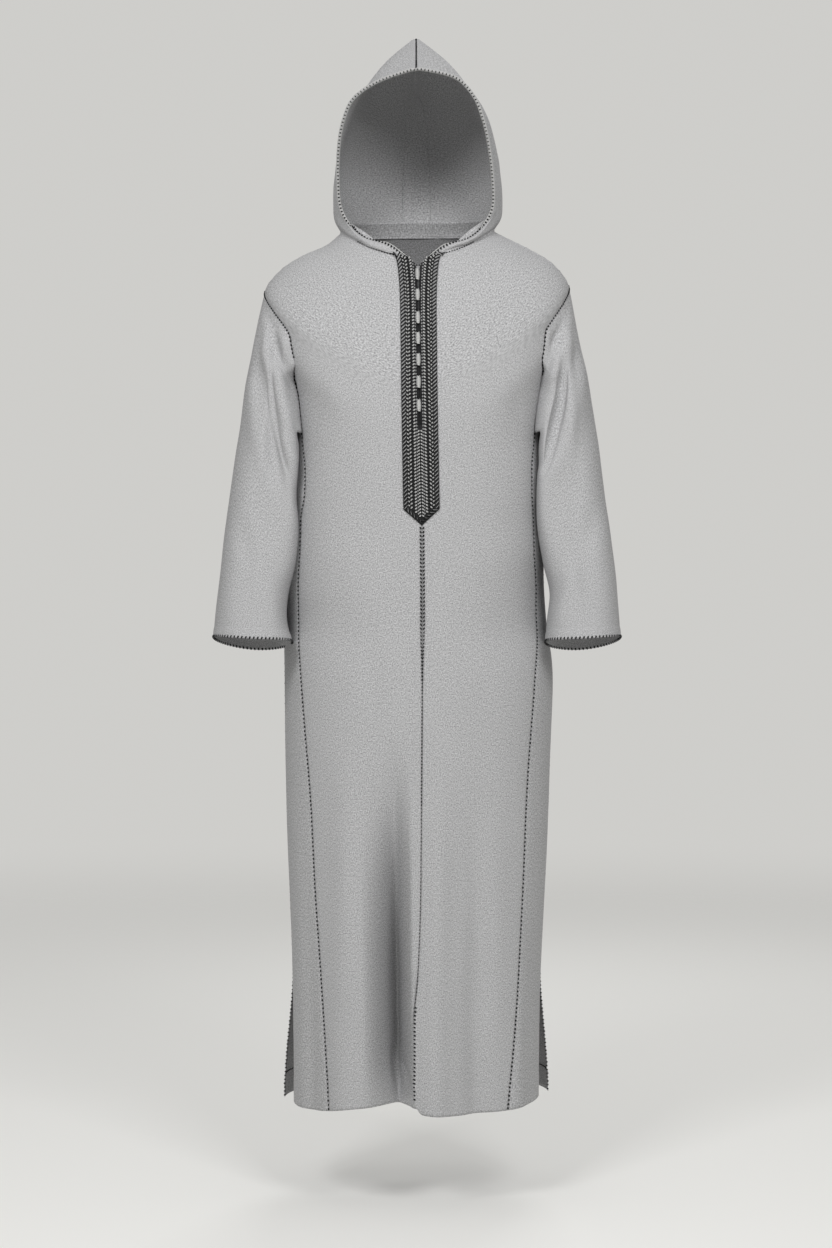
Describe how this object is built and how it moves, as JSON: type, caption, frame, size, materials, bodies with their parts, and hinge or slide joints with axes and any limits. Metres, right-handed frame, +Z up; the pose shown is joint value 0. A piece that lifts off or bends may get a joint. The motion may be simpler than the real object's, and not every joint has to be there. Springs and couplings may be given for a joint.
{
  "type": "hooded thobe in its worn form",
  "caption": "Long hooded thobe of the djellaba kind, hollow and in its worn form, with sleeves, side slits, an open front slit and a braided front fastening.",
  "frame": {"origin": "between the shoulders at the base of the neck, at the height where the garment lies on the wearer's shoulders", "axes": "+Z up, -Y to the front of the garment, +X to the wearer's left, which is the viewer's right"},
  "size_m": [0.6382, 0.383, 1.6862],
  "materials": {
    "grey_crepe": "matte crepe weave, light grey with fine flecks",
    "charcoal_braid": "matte plaited braid and cord, charcoal",
    "light_grey_cord": "matte knotted cord, light grey"
  },
  "bodies": {
    "root": {"back": "grey_crepe", "front_right": "grey_crepe", "front_left": "grey_crepe", "gore_right": "grey_crepe", "gore_left": "grey_crepe", "sleeve_right": "grey_crepe", "sleeve_left": "grey_crepe", "hood_right": "grey_crepe", "hood_left": "grey_crepe", "placket_right": "charcoal_braid", "placket_left": "charcoal_braid", "centre_braid": "charcoal_braid", "knot_1": "light_grey_cord", "knot_2": "light_grey_cord", "knot_3": "light_grey_cord", "knot_4": "light_grey_cord", "knot_5": "light_grey_cord", "knot_6": "light_grey_cord", "knot_7": "light_grey_cord", "loop_1": "charcoal_braid", "loop_2": "charcoal_braid", "loop_3": "charcoal_braid", "loop_4": "charcoal_braid", "loop_5": "charcoal_braid", "loop_6": "charcoal_braid", "loop_7": "charcoal_braid"}
  },
  "joints": []
}
